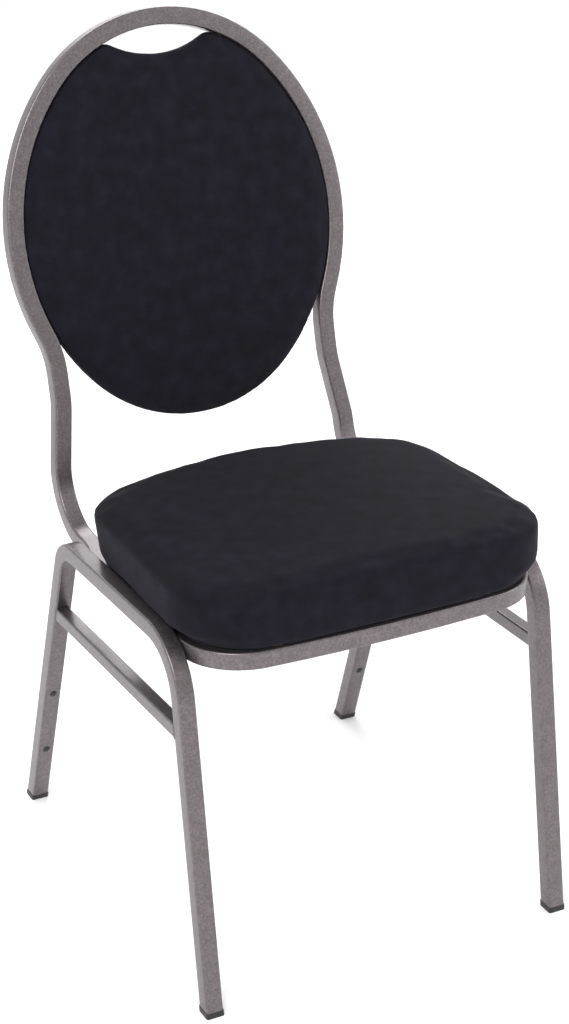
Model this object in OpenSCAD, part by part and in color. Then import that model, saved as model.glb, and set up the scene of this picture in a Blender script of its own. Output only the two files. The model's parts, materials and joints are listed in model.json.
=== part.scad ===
// Stacking chair: a welded square-tube frame with an upholstered seat and back.
// Origin: on the floor, in the middle of the chair's outer box.
// +X is to the right as seen from the front, +Y points to the back, +Z up. Millimetres.
// Left and right in the names are as seen from the front.

/* [Tube] */
// Outside size of the square frame tube
tube = 20; // [18:0.5:22]
// Wall of the frame tube
tube_wall = 1.5; // [1.2:0.1:2]
// Outside corner radius of the frame tube
tube_corner = 2.4; // [2:0.1:3]
// Outside size of the side stretcher and cross bar tube
small_tube = 16; // [14:0.5:18]

/* [Leg frames] */
// Distance from the middle of the chair to the middle of a rail
rail_x = 216; // [205:1:230]
// Height of the rail's line above the floor at its front corner
rail_front_h = 410; // [395:1:425]
// How far the rail's front corner stands behind the front foot
front_leg_set = 67; // [50:1:80]
// Length of the rail between its two corners
rail_len = 294.5; // [285:0.5:305]
// Slope of the rail and the seat, down to the back, in degrees
rail_drop = 2.14; // [1:0.01:4]
// Splay of the rear leg from upright, in degrees
rear_splay = 18.8; // [15:0.1:22]
// Bend radius at the rail's front corner
front_bend_r = 66; // [55:1:75]
// Bend radius at the rail's rear corner
rear_bend_r = 38; // [32:1:45]
// Distance of the stretcher's line below the rail's line
stretcher_drop = 94; // [80:1:120]

/* [Back hoop] */
// Height of the widest point of the hoop's line
hoop_h = 699.5; // [680:0.5:715]
// Distance of that point behind the front foot
hoop_set = 518; // [505:1:530]
// Lean of the back from upright, in degrees
recline = 14.5; // [12:0.1:17]
// Half width of the hoop's line
hoop_half_w = 202; // [197:1:206]
// Height of the hoop's line above its widest point, along the back
hoop_rise = 237; // [228:1:242]
// Radius of the hoop's top arc
hoop_top_r = 180; // [172:1:188]
// Sweep of the hoop's side arc below its widest point, in degrees
hoop_under = 22.4; // [21:0.1:23]
// Radius of the reverse bend at the neck
neck_r = 125; // [115:1:135]
// Straight stretch at the neck
neck_len = 25; // [15:1:30]
// Outward flare of the tube below the neck, in degrees
flare = 8.5; // [7:0.1:9]
// Bend radius where the tube turns forwards under the seat
seat_bend_r = 72; // [64:1:78]

/* [Seat ring] */
// Depth of the ring's line below the rail's line
ring_drop = 11.5; // [10:0.5:13]
// Radius of the ring's front corners
ring_corner_r = 62; // [55:1:68]
// Radius of the slight bow along the ring's front
ring_bow_r = 2000; // [1500:50:3000]
// Front face of the ring, ahead of the rail's front corner
ring_front = 54.7; // [50:0.1:58]

/* [Seat] */
// Half width of the cushion at its front
seat_front_half_w = 218; // [210:1:222]
// Half width of the cushion at its back
seat_rear_half_w = 207; // [203:1:212]
// Distance of the cushion's rear edge behind the rail's front corner
seat_rear = 302.5; // [295:0.5:306]
// Height of the cushion's side wall above the ring
seat_wall_h = 63; // [50:1:70]
// Crown of the seat's top above its side wall
seat_crown = 7; // [4:1:14]

/* [Back pad] */
// Reach of the pad below the hoop's widest point, along the back
pad_reach = 223; // [215:1:228]
// Radius of the pad's bottom arc
pad_bottom_r = 172; // [165:1:176]
// Height of the lowest point of the hand-hold dip in the pad's top edge
dip_h = 195; // [190:1:200]
// Radius of the hand-hold dip
dip_r = 116; // [110:1:125]
// Crown of the pad's front face
pad_front_crown = 12; // [8:1:16]
// Crown of the pad's rear face
pad_rear_crown = 6; // [4:1:10]

/* [Hidden] */

$fn = 64;
paint = [0.5, 0.49, 0.5];
black_cloth = [0.13, 0.13, 0.15];
black_plastic = [0.08, 0.08, 0.08];
foam_grey = [0.72, 0.72, 0.68];
ply = [0.78, 0.63, 0.42];
zinc = [0.75, 0.76, 0.78];

// Small clearances: between nested soft pieces, and round a shank in its hole
gap = 0.3;
hole_gap = 0.2;
overrun = 10;

// Leg frame
front_lean = atan(front_leg_set / rail_front_h);
front_turn = 90 + rail_drop - front_lean;
rear_turn = 90 - rear_splay - rail_drop;
front_tangent = front_bend_r * tan(front_turn / 2);
rear_tangent = rear_bend_r * tan(rear_turn / 2);
rear_corner_y = front_leg_set + rail_len * cos(rail_drop);
rear_corner_h = rail_front_h - rail_len * sin(rail_drop);
rear_foot_y = rear_corner_y + rear_corner_h * tan(rear_splay);
front_leg_len = rail_front_h / cos(front_lean) - front_tangent;
rear_leg_len = rear_corner_h / cos(rear_splay) - rear_tangent;

// Stretcher: parallel to the rail, from one leg's line to the other's
stretcher_h = rail_front_h - stretcher_drop;
stretcher_y = stretcher_h * tan(front_lean);
stretcher_len = (rear_corner_y + (rear_corner_h - stretcher_h) * tan(rear_splay) - stretcher_y)
    / (cos(rail_drop) - sin(rail_drop) * tan(rear_splay));
stretcher_x = rail_x + (tube - small_tube) / 2 - 0.4;

// Hoop: two arcs a side, joined where their radii line up
hoop_top_y = hoop_rise - hoop_top_r;
hoop_side_r = (pow(hoop_half_w, 2) + pow(hoop_top_y, 2) - pow(hoop_top_r, 2))
    / (2 * (hoop_half_w - hoop_top_r));
hoop_side_x = hoop_half_w - hoop_side_r;
hoop_split = atan(hoop_top_y / -hoop_side_x);

// Where the back's line meets the ring's line, measured down the back and along the ring
back_to_ring = [front_leg_set - ring_drop * sin(rail_drop) - hoop_set,
                rail_front_h - ring_drop * cos(rail_drop) - hoop_h];
line_cross = cos(rail_drop) * cos(recline) + sin(rail_drop) * sin(recline);
down_back = -(back_to_ring[0] * sin(rail_drop) + back_to_ring[1] * cos(rail_drop)) / line_cross;
along_ring = (-back_to_ring[0] - down_back * sin(recline)) / cos(rail_drop);
seat_turn = 90 - recline + rail_drop;
seat_tangent = seat_bend_r * tan(seat_turn / 2);

// Straight flare below the neck, and the jog that brings the tube out to the rail
flare_r = 100;
neck_end = hoop_side_r * sin(hoop_under) + neck_r * (sin(hoop_under) + sin(flare)) + neck_len;
flare_len = (down_back - seat_tangent - neck_end - flare_r * sin(flare)) / cos(flare);
neck_x = hoop_side_x + hoop_side_r * cos(hoop_under) - neck_r * (1 - cos(hoop_under));
low_x = neck_x + (neck_r + flare_r) * (1 - cos(flare)) + flare_len * sin(flare);
ring_x = rail_x - tube;
jog_r = 150;
// Largest turn between two rings of a swept tube, in degrees
sweep_step = 4;
jog = acos(1 - (ring_x - low_x) / (2 * jog_r));
jog_end = along_ring - seat_tangent - 2 * jog_r * sin(jog);
ring_joint = 120;

// Front of the ring: corner bend, then a slight bow
bow_angle = asin((ring_x - ring_corner_r) / (ring_bow_r - ring_corner_r));
ring_line_y = tube / 2 - ring_front;
corner_y = ring_line_y + ring_corner_r * cos(bow_angle) + ring_bow_r * (1 - cos(bow_angle));

// Outer box of the chair, front to back, so that the origin is in its middle
box_front = -(tube + 1) / 2 / cos(front_lean);
box_back = hoop_set + (hoop_rise + tube / 2) * sin(recline) + tube / 2 * cos(recline);
mid_y = (box_front + box_back) / 2;

// Seat layers, by height above the ring's top face
ring_top = tube / 2 - ring_drop;
dust_t = 0.8;
wrap_t = 1.2;
board_t = 12;
board_low = dust_t + wrap_t;
board_top = board_low + board_t;
rail_rise = ring_drop + 1;
nest_half_w = rail_x - tube / 2 - 3;
rear_bow_r = 440;
seat_rear_corner_r = 70;
seat_front_corner_r = 75;
seat_front_y = -(ring_front + 3);
seat_crown_span = 190;
seat_mid_y = (seat_rear + seat_front_y) / 2;

// Cross bars and the four bolts through them
bar_y = [60, 205];
bar_half = ring_x - tube / 2;
bolt_x = 150;
bolt_r = 3;
nut_r = 4;
nut_flange_r = 10;
nut_len = 9;
bolt_len = small_tube + board_low + board_t - 2;

// Back pad layers, by distance in front of the hoop's middle plane
pad_clear = gap;
pad_half_w = hoop_half_w - tube / 2 - pad_clear;
pad_bottom_y = pad_bottom_r - pad_reach;
pad_side_r = (pow(pad_half_w, 2) + pow(pad_bottom_y, 2) - pow(pad_bottom_r, 2))
    / (2 * (pad_half_w - pad_bottom_r));
pad_side_x = pad_half_w - pad_side_r;
pad_split = atan(pad_bottom_y / pad_side_x);
pad_fillet = 12;
pad_front = 10;
pad_rear = -10;
board_front_z = 3;
board_rear_z = -6;
cloth = 1.2;
pad_crown_span = 200;
tab_spots = [[22, 1], [-8, 1], [22, -1], [-8, -1]];
tab_w = 24;
tab_t = 2;
tab_reach = 30;
screw_in = 20;

// Feet and buttons
glide_t = 6;
glide_plug = 22;
glide_size = tube + 1;
button_heights = [88, 180];
button_r = 4.6;
button_rise = 2.4;
shank_r = 3;

// ---- Tube sections and tube paths ----

module rounded_square(size, r) {
    square([size, size - 2 * r], center = true);
    square([size - 2 * r, size], center = true);
    for (x = [-1, 1], y = [-1, 1])
        translate([x * (size / 2 - r), y * (size / 2 - r)]) circle(r);
}

// wall = 0 gives a solid bar
module section(size, wall) {
    difference() {
        rounded_square(size, tube_corner);
        if (wall > 0) rounded_square(size - 2 * wall, tube_corner - wall / 2);
    }
}

// A straight length along +Z; its children carry on from the far end
module straight(length, size = tube, wall = tube_wall) {
    linear_extrude(length) section(size, wall);
    translate([0, 0, length]) children();
}

// A bend away from +Z; toward is the side it bends to, as an angle from local +X.
// The sweep runs a little long and is cut square where the next length starts.
module bend(r, angle, toward = 0, size = tube, wall = tube_wall) {
    rotate([0, 0, toward]) translate([r, 0, 0]) {
        difference() {
            rotate([90, 0, 180]) rotate_extrude(angle = angle + 60 / r)
                translate([r, 0]) section(size, wall);
            rotate([0, angle, 0]) translate([-r - size, -size, 0]) cube([2 * size, 2 * size, 10]);
        }
        rotate([0, angle, 0]) translate([-r, 0, 0]) rotate([0, 0, -toward]) children();
    }
}

// ---- Places ----

module centred() translate([0, -mid_y, 0]) children();

module at_front_foot(side)
    translate([side * rail_x, 0, 0]) rotate([-front_lean, 0, 0]) children();

module at_rear_foot(side)
    translate([side * rail_x, rear_foot_y, 0]) rotate([rear_splay, 0, 0]) children();

// Seat frame of reference: y runs back along the rail from its front corner
module in_seat() translate([0, front_leg_set, rail_front_h]) rotate([-rail_drop, 0, 0]) children();

// Heights above the ring's top face
module on_ring() in_seat() translate([0, 0, ring_top]) children();

// Back frame of reference: y up the back from the hoop's widest point, z towards the sitter
module in_back() translate([0, hoop_set, hoop_h]) rotate([90 - recline, 0, 0]) children();

module both_sides() {
    children();
    mirror([1, 0, 0]) children();
}

module slab(low, high) translate([-500, -500, low]) cube([1000, 2000, high - low]);

// ---- Swept tubes ----

// A tube that bends is swept ring by ring along its line.
// A place on the line is [point, two directions across it, the direction along it].
// A stretch of the line is [length] or [radius, angle, toward].

// The place reached after a share, from 0 to 1, of one stretch
function place_along(f, stretch, share) =
    len(stretch) == 1 ? [f[0] + stretch[0] * share * f[3], f[1], f[2], f[3]]
    : let (r = stretch[0], a = stretch[1] * share,
           side = cos(stretch[2]) * f[1] + sin(stretch[2]) * f[2],
           turned = side * cos(a) - f[3] * sin(a))
      [f[0] + r * ((1 - cos(a)) * side + sin(a) * f[3]),
       f[1] + (f[1] * side) * (turned - side),
       f[2] + (f[2] * side) * (turned - side),
       f[3] * cos(a) + side * sin(a)];

function steps_in(stretch) = len(stretch) == 1 ? 1 : ceil(stretch[1] / sweep_step);

// Every place along a line, from its first
function places(f, stretches, i = 0) = i == len(stretches) ? [f]
    : concat([for (k = [0 : steps_in(stretches[i]) - 1])
                  place_along(f, stretches[i], k / steps_in(stretches[i]))],
             places(place_along(f, stretches[i], 1), stretches, i + 1));

// Corner points of the section, three to a corner, and of its bore, one to a corner
function outer_points(f) = [for (q = [0 : 3], a = [0, 45, 90])
    let (u = (tube / 2 - tube_corner) * [sign(cos(q * 90 + 45)), sign(sin(q * 90 + 45))]
             + tube_corner * [cos(q * 90 + a), sin(q * 90 + a)])
    f[0] + u[0] * f[1] + u[1] * f[2]];

function bore_points(f) = [for (q = [0 : 3])
    let (u = (tube / 2 - tube_wall) * [sign(cos(q * 90 + 45)), sign(sin(q * 90 + 45))])
    f[0] + u[0] * f[1] + u[1] * f[2]];

function x_mirrored(points) = [for (p = points) [-p[0], p[1], p[2]]];

// Quads between neighbouring rings of n points; flip turns them inside out
function skin(rings, n, first, flip) = [for (i = [0 : rings - 2], k = [0 : n - 1])
    let (a = first + i * n, l = (k + 1) % n)
    flip ? [a + k, a + n + k, a + n + l, a + l] : [a + k, a + l, a + n + l, a + n + k]];

// Ring of faces that closes the wall at one end
function end_wall(outer, bore, flip) = [for (q = [0 : 3]) let (o = outer + 3 * q, b = bore + q,
        next_o = outer + (3 * q + 3) % 12, next_b = bore + (q + 1) % 4)
    each flip ? [[b, o + 1, o], [b, o + 2, o + 1], [b, next_b, next_o, o + 2]]
              : [[b, o, o + 1], [b, o + 1, o + 2], [b, o + 2, next_o, next_b]]];

function ring_at(f) = [outer_points(f), bore_points(f)];

module swept(rings) {
    outer = [for (r = rings) each r[0]];
    bore = [for (r = rings) each r[1]];
    n = len(outer);
    polyhedron(concat(outer, bore), concat(
        skin(len(rings), 12, 0, true), skin(len(rings), 4, n, false),
        end_wall(0, n, false), end_wall(n - 12, n + 4 * (len(rings) - 1), true)));
}

// ---- Welded frame ----

// From below the front foot up to the rail, along it and down past the rear foot
leg_start = [[0, 0, -overrun], [1, 0, 0], [0, 1, 0], [0, 0, 1]];
leg_line = [
    [front_leg_len + overrun], [front_bend_r, front_turn, 90],
    [rail_len - front_tangent - rear_tangent], [rear_bend_r, rear_turn, 90],
    [rear_leg_len + overrun]
];

module leg_frame(side) {
    color(paint) centred() difference() {
        at_front_foot(side) swept([for (f = places(leg_start, leg_line)) ring_at(f)]);
        slab(-50, glide_t);
        for (h = button_heights) at_rear_foot(side)
            translate([0, 0, h / cos(rear_splay)]) rotate([90, 0, 0])
                cylinder(r = shank_r + hole_gap, h = tube);
    }
}

module leg_frame_left() leg_frame(-1);
module leg_frame_right() leg_frame(1);

module side_stretcher(side) {
    color(paint) centred() difference() {
        translate([side * stretcher_x, stretcher_y, stretcher_h]) rotate([-90 - rail_drop, 0, 0])
            straight(stretcher_len, small_tube);
        at_front_foot(side) straight(400, wall = 0);
        at_rear_foot(side) straight(400, wall = 0);
    }
}

module side_stretcher_left() side_stretcher(-1);
module side_stretcher_right() side_stretcher(1);

// The middle of the hoop's top, heading towards +X
hoop_start = [[0, hoop_rise, 0], [0, -1, 0], [0, 0, -1], [1, 0, 0]];

// From there to the butt joint in the seat ring
back_line = [
    [hoop_top_r, 90 - hoop_split, 0], [hoop_side_r, hoop_split + hoop_under, 0],
    [neck_r, hoop_under, 180], [neck_len], [neck_r, flare, 180], [flare_len],
    [flare_r, flare, 0], [seat_bend_r, seat_turn, 270],
    [jog_r, jog, 180], [jog_r, jog, 0], [jog_end - ring_joint]
];

module back_tube() {
    half = places(hoop_start, back_line);
    color(paint) centred() in_back() swept(concat(
        [for (i = [len(half) - 1 : -1 : 1]) [for (points = ring_at(half[i])) x_mirrored(points)]],
        [for (f = half) ring_at(f)]));
}

module front_seat_rail() {
    color(paint) centred() in_seat() translate([ring_x, ring_joint, -ring_drop]) rotate([90, 0, 0])
        straight(ring_joint - corner_y)
        bend(ring_corner_r, 90 - bow_angle, 180)
        bend(ring_bow_r, 2 * bow_angle, 180)
        bend(ring_corner_r, 90 - bow_angle, 180)
        straight(ring_joint - corner_y);
}

// Short sleeves inside the two butt joints of the seat ring
module joint_sleeves() {
    color(zinc) centred() both_sides() in_seat()
        translate([ring_x, ring_joint + 20, -ring_drop]) rotate([90, 0, 0])
            linear_extrude(40) rounded_square(tube - 2 * tube_wall - 2 * gap, 1);
}

module cross_bar(y) {
    color(paint) centred() difference() {
        on_ring() translate([-bar_half, y, -small_tube / 2]) rotate([90, 0, 90])
            straight(2 * bar_half, small_tube);
        for (x = [-bolt_x, bolt_x]) on_ring() translate([x, y, -small_tube - 1])
            cylinder(r = bolt_r + hole_gap, h = small_tube + 2);
    }
}

module cross_bar_front() cross_bar(bar_y[0]);
module cross_bar_rear() cross_bar(bar_y[1]);

// ---- Feet and stacking buttons ----

// Cap under a leaning tube's end, with a plug up inside it
module glide() {
    intersection() {
        translate([0, 0, -overrun]) straight(4 * overrun, glide_size, 0);
        children(0);
    }
    intersection() {
        translate([0, 0, -overrun])
            linear_extrude(6 * overrun) rounded_square(tube - 2 * tube_wall - 2 * hole_gap, 1);
        children(1);
    }
}

module front_glide(side)
    color(black_plastic) centred() at_front_foot(side) glide() {
        rotate([front_lean, 0, 0]) slab(0, glide_t);
        rotate([front_lean, 0, 0]) slab(glide_t, glide_t + glide_plug);
    }

module rear_glide(side)
    color(black_plastic) centred() at_rear_foot(side) glide() {
        rotate([-rear_splay, 0, 0]) slab(0, glide_t);
        rotate([-rear_splay, 0, 0]) slab(glide_t, glide_t + glide_plug);
    }

module glide_front_left() front_glide(-1);
module glide_front_right() front_glide(1);
module glide_rear_left() rear_glide(-1);
module glide_rear_right() rear_glide(1);

// Domed buttons pressed into the front faces of the rear legs
module stacking_buttons() {
    dome_r = (pow(button_r, 2) + pow(button_rise, 2)) / (2 * button_rise);
    color(black_plastic) centred() for (side = [-1, 1], h = button_heights)
        at_rear_foot(side) translate([0, -tube / 2, h / cos(rear_splay)]) rotate([90, 0, 0]) {
            intersection() {
                translate([0, 0, button_rise - dome_r]) sphere(dome_r);
                cylinder(r = button_r, h = button_rise);
            }
            translate([0, 0, -4]) cylinder(r = shank_r, h = 4.5);
        }
}

// ---- Seat ----

function arc(c, r, from, to, steps = 12) =
    [for (i = [0 : steps]) let (a = from + (to - from) * i / steps) c + r * [cos(a), sin(a)]];

function mirrored(points) = [for (i = [len(points) - 1 : -1 : 0]) [-points[i][0], points[i][1]]];

// Plan of the seat: bowed front and back, rounded corners, straight sides
module seat_plan(front_w, rear_w, inset = 0) {
    rear_angle = asin((rear_w - seat_rear_corner_r) / (rear_bow_r - seat_rear_corner_r));
    front_angle = asin((front_w - seat_front_corner_r) / (ring_bow_r - seat_front_corner_r));
    rear_c = [0, seat_rear - rear_bow_r];
    front_c = [0, seat_front_y + ring_bow_r];
    rear_corner = rear_c + (rear_bow_r - seat_rear_corner_r) * [sin(rear_angle), cos(rear_angle)];
    front_corner = front_c
        + (ring_bow_r - seat_front_corner_r) * [sin(front_angle), -cos(front_angle)];
    half = concat(
        arc(front_c, ring_bow_r - inset, -90, front_angle - 90, 6),
        arc(front_corner, seat_front_corner_r - inset, front_angle - 90, 0),
        arc(rear_corner, seat_rear_corner_r - inset, 0, 90 - rear_angle),
        arc(rear_c, rear_bow_r - inset, 90 - rear_angle, 90, 8));
    polygon(concat(half, mirrored(half)));
}

// Round body from base up to a shallow crown: it falls by crown at the radius span
module dome(base, top, crown, span, reach) {
    steps = 10;
    edge = [for (i = [0 : steps]) let (r = reach * i / steps) [r, top - crown * pow(r / span, 2)]];
    rotate_extrude() polygon(concat([[0, base]], edge, [[reach, base]]));
}

// The cushion's outer form: a nest between the rails, then the wider crowned top
module seat_form(inset = 0) {
    top = seat_wall_h + seat_crown;
    translate([0, 0, dust_t]) intersection() {
        union() {
            linear_extrude(rail_rise + 2 * cloth) seat_plan(nest_half_w, nest_half_w, inset);
            translate([0, 0, rail_rise + inset]) linear_extrude(top)
                seat_plan(seat_front_half_w, seat_rear_half_w, inset);
        }
        translate([0, seat_mid_y, 0]) dome(-1, top - inset, seat_crown, seat_crown_span, 320);
    }
}

module seat_cover() {
    color(black_cloth) centred() on_ring() difference() {
        seat_form();
        intersection() {
            seat_form(cloth);
            slab(board_low, 200);
        }
        linear_extrude(board_low + 1) seat_plan(nest_half_w, nest_half_w, 35);
    }
}

module seat_foam() {
    color(foam_grey) centred() on_ring() intersection() {
        seat_form(cloth + gap);
        slab(board_top, 200);
    }
}

module seat_board() {
    color(ply) centred() on_ring() difference() {
        translate([0, 0, board_low]) linear_extrude(board_t)
            seat_plan(nest_half_w, nest_half_w, cloth + gap);
        for (x = [-bolt_x, bolt_x], y = bar_y) translate([x, y, 0]) {
            cylinder(r = nut_r + hole_gap, h = board_top + 1);
            translate([0, 0, board_top - 1.5]) cylinder(r = nut_flange_r + hole_gap, h = 3);
        }
    }
}

module seat_dust_cover() {
    color(black_cloth) centred() on_ring() difference() {
        linear_extrude(dust_t) seat_plan(nest_half_w, nest_half_w, 6);
        for (x = [-bolt_x, bolt_x], y = bar_y) translate([x, y, -1])
            cylinder(r = bolt_r + hole_gap, h = 3);
    }
}

// Threaded barrel with a thin round flange on top
module tee_nut(length, bore_r) {
    difference() {
        union() {
            translate([0, 0, -length]) cylinder(r = nut_r, h = length);
            translate([0, 0, -1.2]) cylinder(r = nut_flange_r, h = 1.2);
        }
        translate([0, 0, -length - 1]) cylinder(r = bore_r, h = length + 2);
    }
}

module seat_tee_nuts()
    color(zinc) centred() on_ring() for (x = [-bolt_x, bolt_x], y = bar_y)
        translate([x, y, board_top]) tee_nut(nut_len, bolt_r + hole_gap / 2);

// Pan-head bolt pointing up, head below zero
module bolt(length, r, head_r, head_h) {
    cylinder(r = r, h = length);
    difference() {
        translate([0, 0, -head_h]) cylinder(r = head_r, h = head_h);
        translate([0, 0, -head_h - 1]) cylinder(r = head_r * 0.4, h = head_h / 2 + 1, $fn = 6);
    }
}

module seat_bolts()
    color(zinc) centred() on_ring() for (x = [-bolt_x, bolt_x], y = bar_y)
        translate([x, y, -small_tube]) bolt(bolt_len, bolt_r, 6, 3);

// ---- Back pad ----

// Outline of the pad: round below, against the hoop's sides above, dipped at the top
module pad_plan(inset = 0) {
    hoop_in = tube / 2 + pad_clear + inset;
    top_c = [0, hoop_top_y];
    top_r = hoop_top_r - tube / 2 - pad_clear - pad_fillet;
    dip_c = [0, dip_h + dip_r];
    fillet_y = (dip_c[1] + top_c[1]
        + (pow(top_r, 2) - pow(dip_r + pad_fillet, 2)) / (dip_c[1] - top_c[1])) / 2;
    fillet_c = [sqrt(pow(top_r, 2) - pow(fillet_y - top_c[1], 2)), fillet_y];
    top_a = atan2(fillet_c[1] - top_c[1], fillet_c[0]);
    dip_a = atan2(dip_c[1] - fillet_c[1], -fillet_c[0]);
    half = concat(
        arc([0, pad_bottom_y], pad_bottom_r - inset, -90, -pad_split),
        arc([pad_side_x, 0], pad_side_r - inset, -pad_split, 0),
        arc([hoop_side_x, 0], hoop_side_r - hoop_in, 0, hoop_split),
        arc(top_c, hoop_top_r - hoop_in, hoop_split, top_a, 8),
        arc(fillet_c, pad_fillet - inset, top_a, dip_a, 6),
        arc(dip_c, dip_r + inset, dip_a - 180, -90, 10));
    polygon(concat(half, mirrored(half)));
}

// Full pad form, crowned on both faces
module pad_form(inset = 0) {
    front = pad_front + pad_front_crown - inset;
    rear = pad_rear - pad_rear_crown + inset;
    intersection() {
        translate([0, 0, rear]) linear_extrude(front - rear) pad_plan(inset);
        dome(rear - 20, front, pad_front_crown, pad_crown_span, 260);
        rotate([180, 0, 0]) dome(-front - 20, -rear, pad_rear_crown, pad_crown_span, 260);
    }
}

// Spots for the fixing tabs: an angle on the hoop's side arc, and a side
module at_tabs() {
    for (spot = tab_spots)
        translate([spot[1] * (hoop_side_x + (hoop_side_r - tube / 2) * cos(spot[0])),
                   (hoop_side_r - tube / 2) * sin(spot[0]), 0])
            rotate([0, 0, spot[1] > 0 ? spot[0] : 180 - spot[0]]) children();
}

module tab_blank(grow = 0)
    translate([-tab_reach - grow, -tab_w / 2 - grow, board_rear_z - tab_t - grow])
        cube([tab_reach + 2 * grow + 1, tab_w + 2 * grow, tab_t + 2 * grow]);

module back_tabs() {
    color(paint) centred() in_back() difference() {
        at_tabs() tab_blank();
        both_sides() back_side_bar();
        at_tabs() translate([-screw_in, 0, -20]) cylinder(r = 2.2, h = 40);
    }
}

// Solid bar along the hoop's side arc, in the back's own frame
module back_side_bar()
    translate([hoop_side_x, 0, 0]) rotate([0, 0, -hoop_under])
        rotate_extrude(angle = hoop_under + hoop_split)
            translate([hoop_side_r, 0]) section(tube, 0);

module back_board() {
    color(ply) centred() in_back() difference() {
        translate([0, 0, board_rear_z]) linear_extrude(board_front_z - board_rear_z)
            pad_plan(cloth + gap);
        at_tabs() translate([-screw_in, 0, 0]) {
            translate([0, 0, -20]) cylinder(r = 3.2, h = 40);
            translate([0, 0, board_front_z - 1.5]) cylinder(r = 8.2, h = 3);
        }
    }
}

module back_foam() {
    color(foam_grey) centred() in_back() intersection() {
        pad_form(cloth + gap);
        slab(board_front_z, 60);
    }
}

module back_wadding() {
    color(foam_grey) centred() in_back() difference() {
        intersection() {
            pad_form(cloth + gap);
            slab(-60, board_rear_z);
        }
        at_tabs() tab_blank(gap);
        at_tabs() translate([-screw_in, 0, -30]) cylinder(r = 5, h = 30);
    }
}

// The front cover wraps the pad's edge as far as the board's rear face
module back_front_cover() {
    color(black_cloth) centred() in_back() difference() {
        intersection() {
            pad_form();
            slab(board_rear_z, 60);
        }
        pad_form(cloth);
    }
}

module back_rear_cover() {
    color(black_cloth) centred() in_back() difference() {
        intersection() {
            pad_form();
            slab(-60, board_rear_z);
        }
        pad_form(cloth);
        at_tabs() tab_blank(gap);
    }
}

module back_screws()
    color(zinc) centred() in_back() at_tabs()
        translate([-screw_in, 0, board_rear_z - tab_t]) bolt(9, 2, 4, 2.2);

module back_tee_nuts()
    color(zinc) centred() in_back() at_tabs() translate([-screw_in, 0, board_front_z])
        difference() {
            union() {
                translate([0, 0, -7]) cylinder(r = 3, h = 7);
                translate([0, 0, -1.2]) cylinder(r = 8, h = 1.2);
            }
            translate([0, 0, -8]) cylinder(r = 2.1, h = 10);
        }

leg_frame_left();
leg_frame_right();
side_stretcher_left();
side_stretcher_right();
back_tube();
front_seat_rail();
joint_sleeves();
cross_bar_front();
cross_bar_rear();
glide_front_left();
glide_front_right();
glide_rear_left();
glide_rear_right();
stacking_buttons();
seat_board();
seat_foam();
seat_cover();
seat_dust_cover();
seat_bolts();
seat_tee_nuts();
back_board();
back_foam();
back_wadding();
back_front_cover();
back_rear_cover();
back_tabs();
back_screws();
back_tee_nuts();
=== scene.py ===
import json
import math

import bmesh
import bpy
from mathutils import Matrix, Vector, noise
from mathutils.bvhtree import BVHTree


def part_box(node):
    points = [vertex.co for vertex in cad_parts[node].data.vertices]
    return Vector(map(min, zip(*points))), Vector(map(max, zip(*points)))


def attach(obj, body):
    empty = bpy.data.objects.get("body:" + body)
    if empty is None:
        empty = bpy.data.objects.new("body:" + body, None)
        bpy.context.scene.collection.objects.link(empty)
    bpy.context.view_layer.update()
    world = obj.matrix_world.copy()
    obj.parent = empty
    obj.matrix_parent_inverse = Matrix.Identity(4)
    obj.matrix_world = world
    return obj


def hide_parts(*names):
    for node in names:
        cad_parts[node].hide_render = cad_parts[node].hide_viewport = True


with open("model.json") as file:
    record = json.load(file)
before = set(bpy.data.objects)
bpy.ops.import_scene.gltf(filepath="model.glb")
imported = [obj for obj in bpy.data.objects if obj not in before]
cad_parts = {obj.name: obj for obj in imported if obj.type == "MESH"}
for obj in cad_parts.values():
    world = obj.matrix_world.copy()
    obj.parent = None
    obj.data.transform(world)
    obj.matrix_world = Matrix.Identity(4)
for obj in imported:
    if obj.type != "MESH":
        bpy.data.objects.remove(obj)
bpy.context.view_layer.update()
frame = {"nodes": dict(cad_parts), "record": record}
nodes = frame["nodes"]
mm = 0.001


def linear(hexColour):
    # sRGB hex to the linear colour that shaders take
    parts = [int(hexColour[i:i + 2], 16) / 255 for i in (1, 3, 5)]
    return tuple(c / 12.92 if c <= 0.04045 else ((c + 0.055) / 1.055) ** 2.4 for c in parts) + (1.0,)


def middle(node):
    low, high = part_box(node)
    return (low + high) / 2


def addNode(tree, kind, settings=None, links=None, **sockets):
    # one shader node, with its settings, socket values and incoming links
    made = tree.nodes.new(kind)
    for name, value in (settings or {}).items():
        setattr(made, name, value)
    for name, value in sockets.items():
        made.inputs[name.replace("_", " ")].default_value = value
    for name, source in (links or {}).items():
        tree.links.new(source, made.inputs[name])
    return made


def startMaterial(name):
    made = bpy.data.materials.new(name)
    made.use_nodes = True
    tree = made.node_tree
    shader = tree.nodes["Principled BSDF"]
    place = addNode(tree, "ShaderNodeTexCoord").outputs["Object"]
    return made, tree, shader, place


def colourRange(tree, factor, stops):
    ramp = addNode(tree, "ShaderNodeValToRGB", links={"Fac": factor})
    ramp.color_ramp.elements[0].position = stops[0][0]
    ramp.color_ramp.elements[0].color = linear(stops[0][1])
    ramp.color_ramp.elements[1].position = stops[-1][0]
    ramp.color_ramp.elements[1].color = linear(stops[-1][1])
    for position, colour in stops[1:-1]:
        ramp.color_ramp.elements.new(position).color = linear(colour)
    return ramp.outputs["Color"]


def bumpInto(tree, shader, height, strength, distance):
    bump = addNode(tree, "ShaderNodeBump", links={"Height": height}, Strength=strength, Distance=distance)
    tree.links.new(bump.outputs["Normal"], shader.inputs["Normal"])


def dress(piece, material):
    piece.data.materials.clear()
    piece.data.materials.append(material)


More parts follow.
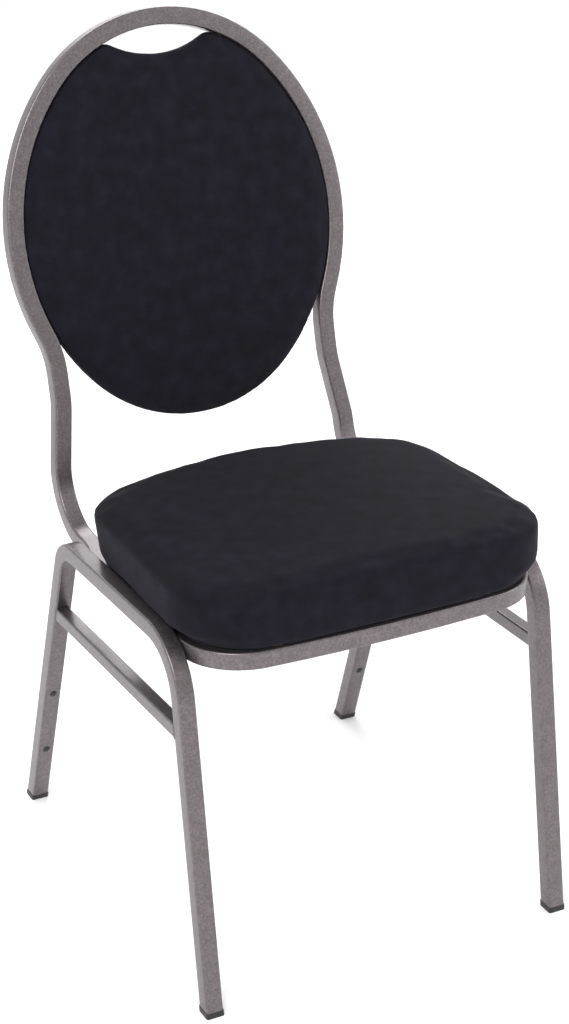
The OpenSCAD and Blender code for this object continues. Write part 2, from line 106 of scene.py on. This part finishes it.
def finishPiece(name, bm, material, smooth=True):
    mesh = bpy.data.meshes.new(name)
    bm.to_mesh(mesh)
    bm.free()
    piece = bpy.data.objects.new(name, mesh)
    bpy.context.scene.collection.objects.link(piece)
    mesh.polygons.foreach_set("use_smooth", [smooth] * len(mesh.polygons))
    dress(piece, material)
    return piece


view = {
    "place": (-1.1088, -2.1888, 1.5625),
    "target": (-0.0129, -0.0651, 0.4793),
    "lens": 84.1,          # mm
    "sensor": 36,          # mm, long side
    "lift": -0.0207,
}


def makeCamera():
    data = bpy.data.cameras.new("camera")
    data.lens = view["lens"]
    data.sensor_width = view["sensor"]
    data.shift_y = view["lift"]
    camera = bpy.data.objects.new("camera", data)
    camera.location = view["place"]
    aim = Vector(view["target"]) - camera.location
    camera.rotation_euler = aim.to_track_quat("-Z", "Y").to_euler()
    bpy.context.scene.collection.objects.link(camera)
    bpy.context.scene.camera = camera


studio = {
    "skyColour": "#ffffff",
    "skyStrength": 1.0,
    "lampsFace": (0, 0, 0.45),
    "lamps": {             # name: place, size in metres, power in watts
        "keyLamp": ((-1.9, -1.6, 2.6), 1.6, 60),
        "fillLamp": ((2.4, -1.2, 1.6), 1.8, 22),
        "rearLamp": ((0.6, 2.4, 2.2), 1.6, 35),
    },
    "floorColour": "#fbfbfb",
    "floorReach": 30,      # metres each way
}


def makeStudio():
    world = bpy.data.worlds.new("studioSky")
    bpy.context.scene.world = world
    world.use_nodes = True
    sky = world.node_tree.nodes["Background"]
    sky.inputs["Color"].default_value = linear(studio["skyColour"])
    sky.inputs["Strength"].default_value = studio["skyStrength"]
    for name, (place, size, power) in studio["lamps"].items():
        data = bpy.data.lights.new(name, "AREA")
        data.size = size
        data.energy = power
        lamp = bpy.data.objects.new(name, data)
        lamp.location = place
        aim = Vector(studio["lampsFace"]) - lamp.location
        lamp.rotation_euler = aim.to_track_quat("-Z", "Y").to_euler()
        bpy.context.scene.collection.objects.link(lamp)
    bm = bmesh.new()
    bmesh.ops.create_grid(bm, x_segments=1, y_segments=1, size=studio["floorReach"])
    mesh = bpy.data.meshes.new("floor")
    bm.to_mesh(mesh)
    bm.free()
    floor = bpy.data.objects.new("floor", mesh)
    bpy.context.scene.collection.objects.link(floor)
    paper, _, shader, _ = startMaterial("studioPaper")
    shader.inputs["Base Color"].default_value = linear(studio["floorColour"])
    shader.inputs["Roughness"].default_value = 0.9
    dress(floor, paper)
    bpy.context.scene.view_settings.view_transform = "Standard"


def hammerEnamel():
    # silver-grey hammered enamel on steel: leafed flakes give small dimples and a soft, warm grey sheen
    made, tree, shader, place = startMaterial("hammerEnamel")
    dimples = addNode(tree, "ShaderNodeTexNoise", links={"Vector": place},
                      Scale=420.0, Detail=2.0, Roughness=0.5)   # 2.4 mm dimples
    clouds = addNode(tree, "ShaderNodeTexNoise", links={"Vector": place},
                     Scale=110.0, Detail=2.0)   # 9 mm clouding
    mixed = addNode(tree, "ShaderNodeMath", {"operation": "MULTIPLY_ADD"},
                    {0: clouds.outputs["Fac"], 2: dimples.outputs["Fac"]})
    mixed.inputs[1].default_value = 0.4
    colour = colourRange(tree, mixed.outputs[0], [(0.45, "#5f595a"), (0.7, "#6b6466"), (0.95, "#797275")])
    tree.links.new(colour, shader.inputs["Base Color"])
    rough = addNode(tree, "ShaderNodeMapRange", links={"Value": dimples.outputs["Fac"]},
                    To_Min=0.32, To_Max=0.42)
    tree.links.new(rough.outputs["Result"], shader.inputs["Roughness"])
    shader.inputs["Metallic"].default_value = 0.85
    shader.inputs["Coat Weight"].default_value = 0.2
    shader.inputs["Coat Roughness"].default_value = 0.15
    bumpInto(tree, shader, dimples.outputs["Fac"], 0.3, 0.0005)
    return made


def wovenCloth():
    # near-black contract cloth: matt, with a faint violet cast, a fine woven grain and a soft sheen
    made, tree, shader, place = startMaterial("wovenCloth")
    threads = addNode(tree, "ShaderNodeTexVoronoi", {"distance": "CHEBYCHEV"}, {"Vector": place},
                      Scale=900.0, Randomness=0.35)   # 1.1 mm weave
    slubs = addNode(tree, "ShaderNodeTexNoise", links={"Vector": place},
                    Scale=55.0, Detail=5.0)   # 18 mm shade drift
    tone = addNode(tree, "ShaderNodeMath", {"operation": "MULTIPLY_ADD"},
                   {0: threads.outputs["Distance"], 2: slubs.outputs["Fac"]})
    tone.inputs[1].default_value = 0.35
    colour = colourRange(tree, tone.outputs[0], [(0.4, "#0d0c12"), (0.65, "#12111a"), (0.95, "#191722")])
    tree.links.new(colour, shader.inputs["Base Color"])
    shader.inputs["Roughness"].default_value = 0.9
    shader.inputs["Sheen Weight"].default_value = 0.05
    shader.inputs["Sheen Roughness"].default_value = 0.4
    shader.inputs["Sheen Tint"].default_value = linear("#b0aec0")
    shader.inputs["Specular IOR Level"].default_value = 0.15
    bumpInto(tree, shader, threads.outputs["Distance"], 0.4, 0.0004)
    return made


def dustCloth():
    # spun-bonded black under-cover: flat, pitted and quite matt
    made, tree, shader, place = startMaterial("dustCloth")
    pits = addNode(tree, "ShaderNodeTexVoronoi", links={"Vector": place}, Scale=450.0)   # 2.2 mm bond dots
    colour = colourRange(tree, pits.outputs["Distance"], [(0.1, "#0f0f11"), (0.6, "#1b1b1e")])
    tree.links.new(colour, shader.inputs["Base Color"])
    shader.inputs["Roughness"].default_value = 0.95
    bumpInto(tree, shader, pits.outputs["Distance"], 0.4, 0.0003)
    return made


def mouldedNylon():
    # black moulded nylon: half matt, finely spark-eroded, with paler scuffs
    made, tree, shader, place = startMaterial("mouldedNylon")
    grain = addNode(tree, "ShaderNodeTexNoise", links={"Vector": place},
                    Scale=1200.0, Detail=2.0)   # 0.8 mm grain
    scuff = addNode(tree, "ShaderNodeTexNoise", links={"Vector": place},
                    Scale=180.0, Detail=5.0)   # 6 mm scuffs
    colour = colourRange(tree, scuff.outputs["Fac"], [(0.4, "#151516"), (0.62, "#222224"), (0.75, "#3a3a3c")])
    tree.links.new(colour, shader.inputs["Base Color"])
    shader.inputs["Roughness"].default_value = 0.48
    bumpInto(tree, shader, grain.outputs["Fac"], 0.2, 0.0002)
    return made


def zincPlate():
    # bright zinc on turned steel: fine spangle, light grey
    made, tree, shader, place = startMaterial("zincPlate")
    spangle = addNode(tree, "ShaderNodeTexVoronoi", links={"Vector": place},
                      Scale=600.0)   # 1.7 mm crystals
    colour = colourRange(tree, spangle.outputs["Color"], [(0.2, "#a9abae"), (0.9, "#c9cbce")])
    tree.links.new(colour, shader.inputs["Base Color"])
    shader.inputs["Metallic"].default_value = 1.0
    shader.inputs["Roughness"].default_value = 0.34
    return made


def rawPlywood():
    # raw birch plywood: pale, with grain drawn out along the board
    made, tree, shader, place = startMaterial("rawPlywood")
    drawn = addNode(tree, "ShaderNodeMapping", links={"Vector": place})
    drawn.inputs["Scale"].default_value = (1.0, 0.08, 1.0)
    grain = addNode(tree, "ShaderNodeTexNoise", links={"Vector": drawn.outputs["Vector"]},
                    Scale=260.0, Detail=6.0)   # 4 mm grain
    colour = colourRange(tree, grain.outputs["Fac"], [(0.3, "#b08c5e"), (0.55, "#c9a878"), (0.8, "#d8bc90")])
    tree.links.new(colour, shader.inputs["Base Color"])
    shader.inputs["Roughness"].default_value = 0.7
    bumpInto(tree, shader, grain.outputs["Fac"], 0.2, 0.0003)
    return made


# the seat and the back each have a frame of reference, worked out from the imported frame
frontBar = middle("cross_bar_front")
rearBar = middle("cross_bar_rear")
seatSlope = math.atan2(rearBar.z - frontBar.z, rearBar.y - frontBar.y)
seatPlace = Matrix.Translation(frontBar) @ Matrix.Rotation(seatSlope, 4, "X")


def backPlace():
    # the back board is flat: the way its largest front face looks gives the lean of the back
    faces = [f for f in nodes["back_board"].data.polygons if f.normal.y < -0.9]
    front = max(faces, key=lambda f: f.area).normal
    lean = math.atan2(front.z, -front.y)
    return Matrix.Translation(middle("back_board")) @ Matrix.Rotation(math.pi / 2 - lean, 4, "X")


backFrame = backPlace()


merge = 0.01 * mm          # points nearer than this are one
flat = 0.1 * mm            # points this near to a plane lie in it


def mergedCopy(node, place=Matrix.Identity(4)):
    # a CAD solid with its doubled points merged, in the given frame of reference
    bm = bmesh.new()
    bm.from_mesh(nodes[node].data)
    bmesh.ops.remove_doubles(bm, verts=bm.verts, dist=merge)
    bmesh.ops.transform(bm, matrix=place.inverted(), verts=bm.verts)
    return bm


tube = {"sharpFrom": 50}   # degrees: a steeper step between faces is drawn as an edge


def makeTube(node, name, paint):
    # bent tube shaded as one drawn surface, its flats kept flat
    bm = mergedCopy(node)
    bmesh.ops.recalc_face_normals(bm, faces=bm.faces)
    piece = finishPiece(name, bm, paint)
    piece.data.set_sharp_from_angle(angle=math.radians(tube["sharpFrom"]))
    flats = piece.modifiers.new("flats", "WEIGHTED_NORMAL")
    flats.keep_sharp = True
    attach(piece, "root")
    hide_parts(node)
    return piece


weld = {
    "bead": 1.5 * mm,
    "ripple": 0.35 * mm,
    "pitch": 2.6 * mm,
    "steps": 3,            # rings for each ripple
    "sides": 8,
    "endReach": 14 * mm,   # how far from a stretcher's end its outline is looked for
    "endPull": 0.4,        # how much reaching past the end counts against reaching a corner
    "stitches": (-150, -75, 0),   # mm along the seat rail, where each stitch starts
    "stitchLength": 34,    # mm
    "stitchHeight": -1.5 * mm,
}


def beadAlong(bm, points, closed):
    # a rippled bead of weld laid along a line of points
    count = len(points)
    sides = weld["sides"]
    rings = []
    for i, point in enumerate(points):
        ahead = points[(i + 1) % count] if closed or i < count - 1 else point
        behind = points[i - 1] if closed or i > 0 else point
        along = (ahead - behind).normalized()
        side = along.orthogonal().normalized()
        up = along.cross(side)
        radius = weld["bead"] + weld["ripple"] * math.sin(2 * math.pi * i / weld["steps"])
        rings.append([bm.verts.new(point + radius * (side * math.cos(a) + up * math.sin(a)))
                      for a in (2 * math.pi * k / sides for k in range(sides))])
    for i in range(count if closed else count - 1):
        here, there = rings[i], rings[(i + 1) % count]
        # the turn that joins the two rings with the least twist
        shift = min(range(sides), key=lambda s: sum((here[k].co - there[(k + s) % sides].co).length
                                                    for k in range(sides)))
        for k in range(sides):
            bm.faces.new((here[k], here[(k + 1) % sides],
                          there[(k + 1 + shift) % sides], there[(k + shift) % sides]))
    if not closed:
        bm.faces.new(rings[0][::-1])
        bm.faces.new(rings[-1])


def lineOfPoints(corners, closed):
    # points a step of the ripple apart, along straight runs between corners
    made = []
    ends = corners[1:] + corners[:1] if closed else corners[1:]
    for start, end in zip(corners, ends):
        steps = max(1, round((end - start).length / (weld["pitch"] / weld["steps"])))
        made += [start.lerp(end, i / steps) for i in range(steps)]
    return made if closed else made + [corners[-1]]


def makeWelds(paint):
    bm = bmesh.new()
    for side in ("left", "right"):
        points = [v.co for v in nodes["side_stretcher_" + side].data.vertices]
        centre = sum(points, Vector()) / len(points)
        low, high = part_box("side_stretcher_" + side)
        for end, faceNormal in ((low.y, -1), (high.y, 1)):
            near = [p for p in points if abs(p.y - end) < weld["endReach"]]
            loop = []
            for across, rise in ((1, 1), (-1, 1), (-1, -1), (1, -1)):
                # the outermost point of the tube's end towards each corner of its section
                best = max(near, key=lambda p: across * (p.x - centre.x) + rise * (p.z - centre.z)
                           + weld["endPull"] * faceNormal * (p.y - end))
                loop.append(best.copy())
            beadAlong(bm, lineOfPoints(loop, True), True)
        inner = min((corner.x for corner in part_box("leg_frame_" + side)), key=abs)   # the rail's inner face
        for y in weld["stitches"]:
            line = [Vector((inner, (y + d) * mm, 0)) for d in (0, weld["stitchLength"])]
            for p in line:
                p.z = frontBar.z + (p.y - frontBar.y) * math.tan(seatSlope) + weld["stitchHeight"]
            beadAlong(bm, lineOfPoints(line, False), False)
    bmesh.ops.recalc_face_normals(bm, faces=bm.faces)
    piece = finishPiece("weldBeads", bm, paint)
    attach(piece, "root")
    return piece


padding = {
    "relax": (0.6, -0.5),   # drawn in, then pushed back out
    "relaxSwollen": 5,      # rounds after the cloth has swollen
    "relaxFaired": 2,       # rounds after the rim is faired
    "clothQuality": 5,
    "clothSteps": 20,
    "stiffness": 20,
    "quickSwell": 0.6,      # share of the puff
    "wallTilt": 0.3,        # a face is a side wall while its normal rises less than this
    "wallReach": 12 * mm,
    "wallFade": 1.4,        # how soon the pull to the outline fades as the surface turns up
}


def remeshed(bm, voxel):
    # even quads all over a closed form, for the cloth to work with
    mesh = bpy.data.meshes.new("remeshSource")
    bm.to_mesh(mesh)
    bm.free()
    source = bpy.data.objects.new("remeshSource", mesh)
    bpy.context.scene.collection.objects.link(source)
    tool = source.modifiers.new("remesh", "REMESH")
    tool.mode = "VOXEL"
    tool.voxel_size = voxel
    made = bmesh.new()
    made.from_object(source, bpy.context.evaluated_depsgraph_get())
    bpy.data.objects.remove(source)
    return made


def relaxed(bm, times):
    # rounds the edges, then pushes back out what the rounding drew in
    for factor in padding["relax"] * times:
        means = [sum((e.other_vert(v).co for e in v.link_edges), Vector()) / len(v.link_edges)
                 for v in bm.verts]
        for v, mean in zip(bm.verts, means):
            v.co = v.co.lerp(mean, factor)


def inflated(bm, held, settings):
    # cloth pressure swells the form; held(point) pins it, and no point moves further than the puff
    rest = [v.co.copy() for v in bm.verts]
    mesh = bpy.data.meshes.new("clothSource")
    bm.to_mesh(mesh)
    source = bpy.data.objects.new("clothSource", mesh)
    bpy.context.scene.collection.objects.link(source)
    pins = source.vertex_groups.new(name="pins")
    pins.add([i for i, p in enumerate(rest) if held(p)], 1.0, "REPLACE")
    tool = source.modifiers.new("cloth", "CLOTH")
    fabric = tool.settings
    fabric.quality = padding["clothQuality"]
    fabric.vertex_group_mass = "pins"
    fabric.use_pressure = True
    fabric.uniform_pressure_force = settings["pressure"]
    fabric.effector_weights.gravity = 0
    fabric.tension_stiffness = padding["stiffness"]
    fabric.compression_stiffness = padding["stiffness"]
    scene = bpy.context.scene
    for step in range(1, padding["clothSteps"] + 1):
        scene.frame_set(step)
    swollen = source.evaluated_get(bpy.context.evaluated_depsgraph_get()).data
    bm.normal_update()
    for v, start, end in zip(bm.verts, rest, swollen.vertices):
        swell = (end.co - start).dot(v.normal)
        v.co = start + v.normal * min(max(swell, 0), settings["puff"])
    scene.frame_set(1)
    bpy.data.objects.remove(source)


def faired(bm, drawn, reach):
    # brings the side walls back to the drawn outline, so that the rim runs in one clean line
    bm.normal_update()
    for v in bm.verts:
        place, normal, _, distance = drawn.find_nearest(v.co)
        if abs(normal.z) < padding["wallTilt"] and distance < padding["wallReach"]:
            share = max(0, 1 - padding["wallFade"] * abs(v.normal.z))
            v.co += normal * share * (reach - (v.co - place).dot(normal))


def padForm(bm, held, settings):
    # a drawn solid made soft: rounded, swollen and faired back to its outline
    bmesh.ops.recalc_face_normals(bm, faces=bm.faces)
    drawn = BVHTree.FromBMesh(bm)
    bm = remeshed(bm, settings["voxel"])
    relaxed(bm, settings["soften"])
    bm.normal_update()
    for v in bm.verts:
        v.co += v.normal * settings["grow"]
    (inflated)(bm, held, settings)
    relaxed(bm, padding["relaxSwollen"])
    faired(bm, drawn, settings["grow"])
    relaxed(bm, padding["relaxFaired"])
    bm.normal_update()
    return bm


def padPiece(name, bm, place, cloth):
    bmesh.ops.transform(bm, matrix=place, verts=bm.verts)
    bmesh.ops.recalc_face_normals(bm, faces=bm.faces)
    piece = finishPiece(name, bm, cloth)
    finer = piece.modifiers.new("finer", "SUBSURF")
    finer.levels = 1
    finer.render_levels = 1
    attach(piece, "root")
    return piece


seat = {
    "voxel": 4.5 * mm,
    "soften": 16,
    "grow": 1.5 * mm,
    "puff": 4 * mm,
    "pressure": 4.0,
    "pinned": 16 * mm,      # the cloth is held up to this height over the ring of tubes
    "ringClear": 0.9 * mm,  # the pad's underside stands this far over the ring
    "shapeFrom": 14 * mm,   # height over the ring where the fuller top begins
    "shapeOver": 20 * mm,   # and the height it takes to be fully there
    "lift": 2 * mm,
    "crown": 7 * mm,
    "span": 190 * mm,
    "flatten": 0.2,
    "rearward": 9 * mm,
    "rearSpan": 180 * mm,
    "spread": 7 * mm,
    "halfWidth": 200 * mm,
}


def makeSeat(cloth):
    bm = bmesh.new()
    for node in ("seat_foam", "seat_board"):
        # one closed hull round each, which the remesh joins
        part = mergedCopy(node, seatPlace)
        points = [v.co.copy() for v in part.verts]
        part.free()
        made = [bm.verts.new(p) for p in points]
        hull = bmesh.ops.convex_hull(bm, input=made)
        inside = [g for g in hull["geom_interior"] if isinstance(g, bmesh.types.BMVert)]
        bmesh.ops.delete(bm, geom=inside, context="VERTS")
    ringTop = max((seatPlace.inverted() @ v.co).z for v in nodes["cross_bar_front"].data.vertices)
    centreY = (max(v.co.y for v in bm.verts) + min(v.co.y for v in bm.verts)) / 2
    for v in bm.verts:
        # the soft top stands fuller than the drawn solid, most of all towards its corners
        share = min(1, max(0, (v.co.z - ringTop - seat["shapeFrom"]) / seat["shapeOver"]))
        fall = seat["crown"] * (v.co.x ** 2 + (v.co.y - centreY) ** 2) / seat["span"] ** 2
        v.co.z += share * (seat["lift"] + seat["flatten"] * fall)
        rearShare = share * max(0, v.co.y - centreY) / seat["rearSpan"]
        v.co.x += rearShare * seat["spread"] * v.co.x / seat["halfWidth"]
        v.co.y += rearShare * seat["rearward"]
    bm = padForm(bm, lambda p: p.z < ringTop + seat["pinned"], seat)
    for v in bm.verts:
        v.co.z = max(v.co.z, ringTop + seat["ringClear"])
    piece = padPiece("seatCushion", bm, seatPlace, cloth)
    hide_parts("seat_foam", "seat_cover")
    return piece


back = {
    "voxel": 3.5 * mm,
    "soften": 14,
    "grow": 2 * mm,
    "puff": 5 * mm,
    "pressure": 4.0,
    "seam": 0.9 * mm,       # depth of the dip where the front and rear covers meet
    "seamHalfWidth": 5 * mm,
    "seamFade": 0.75,       # the dip is gone once the surface's normal leans this far
}


def makeBack(cloth):
    bm = mergedCopy("back_foam", backFrame)
    low = min(v.co.z for v in bm.verts)
    rear = min((backFrame.inverted() @ v.co).z for v in nodes["back_rear_cover"].data.vertices)
    boardRear = min((backFrame.inverted() @ v.co).z for v in nodes["back_board"].data.vertices)
    for v in bm.verts:
        # the foam's rear face moves out to the rear cover
        if v.co.z < low + flat:
            v.co.z = rear + back["puff"]
    bm = padForm(bm, lambda p: False, back)
    for v in bm.verts:
        edge = 1 - min(1, abs(v.normal.z) / back["seamFade"])
        dip = math.exp(-((v.co.z - boardRear) / back["seamHalfWidth"]) ** 2)
        v.co -= v.normal * back["seam"] * edge * dip
    piece = padPiece("backPad", bm, backFrame, cloth)
    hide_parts("back_foam", "back_wadding", "back_front_cover", "back_rear_cover")
    return piece


board = {"scale": 0.97}


def makeBoard(node, name, place, plywood):
    # the plywood inside a pad, drawn just clear of the cloth's own thickness
    bm = mergedCopy(node, place)
    centre = sum((v.co for v in bm.verts), Vector()) / len(bm.verts)
    for v in bm.verts:
        v.co.x = centre.x + (v.co.x - centre.x) * board["scale"]
        v.co.y = centre.y + (v.co.y - centre.y) * board["scale"]
    bmesh.ops.transform(bm, matrix=place, verts=bm.verts)
    bmesh.ops.recalc_face_normals(bm, faces=bm.faces)
    piece = finishPiece(name, bm, plywood, smooth=False)
    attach(piece, "root")
    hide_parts(node)
    return piece


dustCover = {
    "sag": 1.2 * mm,
    "thick": 0.5 * mm,
    "gap": 0.1 * mm,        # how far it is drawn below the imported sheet's top
    "folds": (22, 60),      # per metre: folds 45 and 17 mm long
    "fineShare": 0.6,       # height of the short folds against the long ones
    "slack": 0.25,          # share of the sag that hangs between staples
    "pitch": 10,            # mm between the cuts that let the cloth bend
    "reach": {"x": 200, "y": 260},   # mm each side of the middle
}


def makeDustCover(material):
    # stapled cloth under the seat, drawn flat but a little slack between the staples
    bm = mergedCopy("seat_dust_cover", seatPlace)
    top = max(v.co.z for v in bm.verts)
    lower = [f for f in bm.faces if f.calc_center_median().z < top - flat]
    bmesh.ops.delete(bm, geom=lower, context="FACES_ONLY")
    bmesh.ops.delete(bm, geom=[v for v in bm.verts if not v.link_faces], context="VERTS")
    area = sum(f.calc_area() for f in bm.faces)
    for axis, normal in (("x", Vector((1, 0, 0))), ("y", Vector((0, 1, 0)))):
        reach = dustCover["reach"][axis]
        for step in range(-reach, reach + 1, dustCover["pitch"]):
            geom = bm.verts[:] + bm.edges[:] + bm.faces[:]
            bmesh.ops.bisect_plane(bm, geom=geom, plane_co=normal * (step * mm), plane_no=normal, dist=merge)
    long, short = dustCover["folds"]
    for v in bm.verts:
        wave = noise.noise(v.co * long) + dustCover["fineShare"] * noise.noise(v.co * short)
        v.co.z += min(0.0, wave) * dustCover["sag"] * dustCover["slack"] - dustCover["gap"]
    bmesh.ops.recalc_face_normals(bm, faces=bm.faces)
    bmesh.ops.solidify(bm, geom=bm.faces[:], thickness=dustCover["thick"])
    bmesh.ops.transform(bm, matrix=seatPlace, verts=bm.verts)
    bmesh.ops.recalc_face_normals(bm, faces=bm.faces)
    piece = finishPiece("seatDustCover", bm, material)
    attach(piece, "root")
    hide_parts("seat_dust_cover")
    return piece


makeCamera()
makeStudio()
print("camera and studio ready")

enamel = hammerEnamel()
cloth = wovenCloth()
dust = dustCloth()
nylon = mouldedNylon()
zinc = zincPlate()
plywood = rawPlywood()
finishOf = {
    "frame_paint": enamel,
    "zinc": zinc,
    "glide_plastic": nylon,
    "plywood": plywood,
    "foam": cloth,
    "upholstery": cloth,
    "dust_cloth": dust,
}
for part in frame["record"]["subparts"]:
    dress(nodes[part["node"]], finishOf[part["material_slot"]])
print("frame dressed")

makeTube("leg_frame_left", "legTubeLeft", enamel)
makeTube("leg_frame_right", "legTubeRight", enamel)
makeTube("back_tube", "backTube", enamel)
makeWelds(enamel)
print("tubes and welds made")

makeSeat(cloth)
print("seat cushion made")
makeBack(cloth)
print("back pad made")
makeBoard("seat_board", "seatBoard", seatPlace, plywood)
makeBoard("back_board", "backBoard", backFrame, plywood)
makeDustCover(dust)
print("dust cover made")
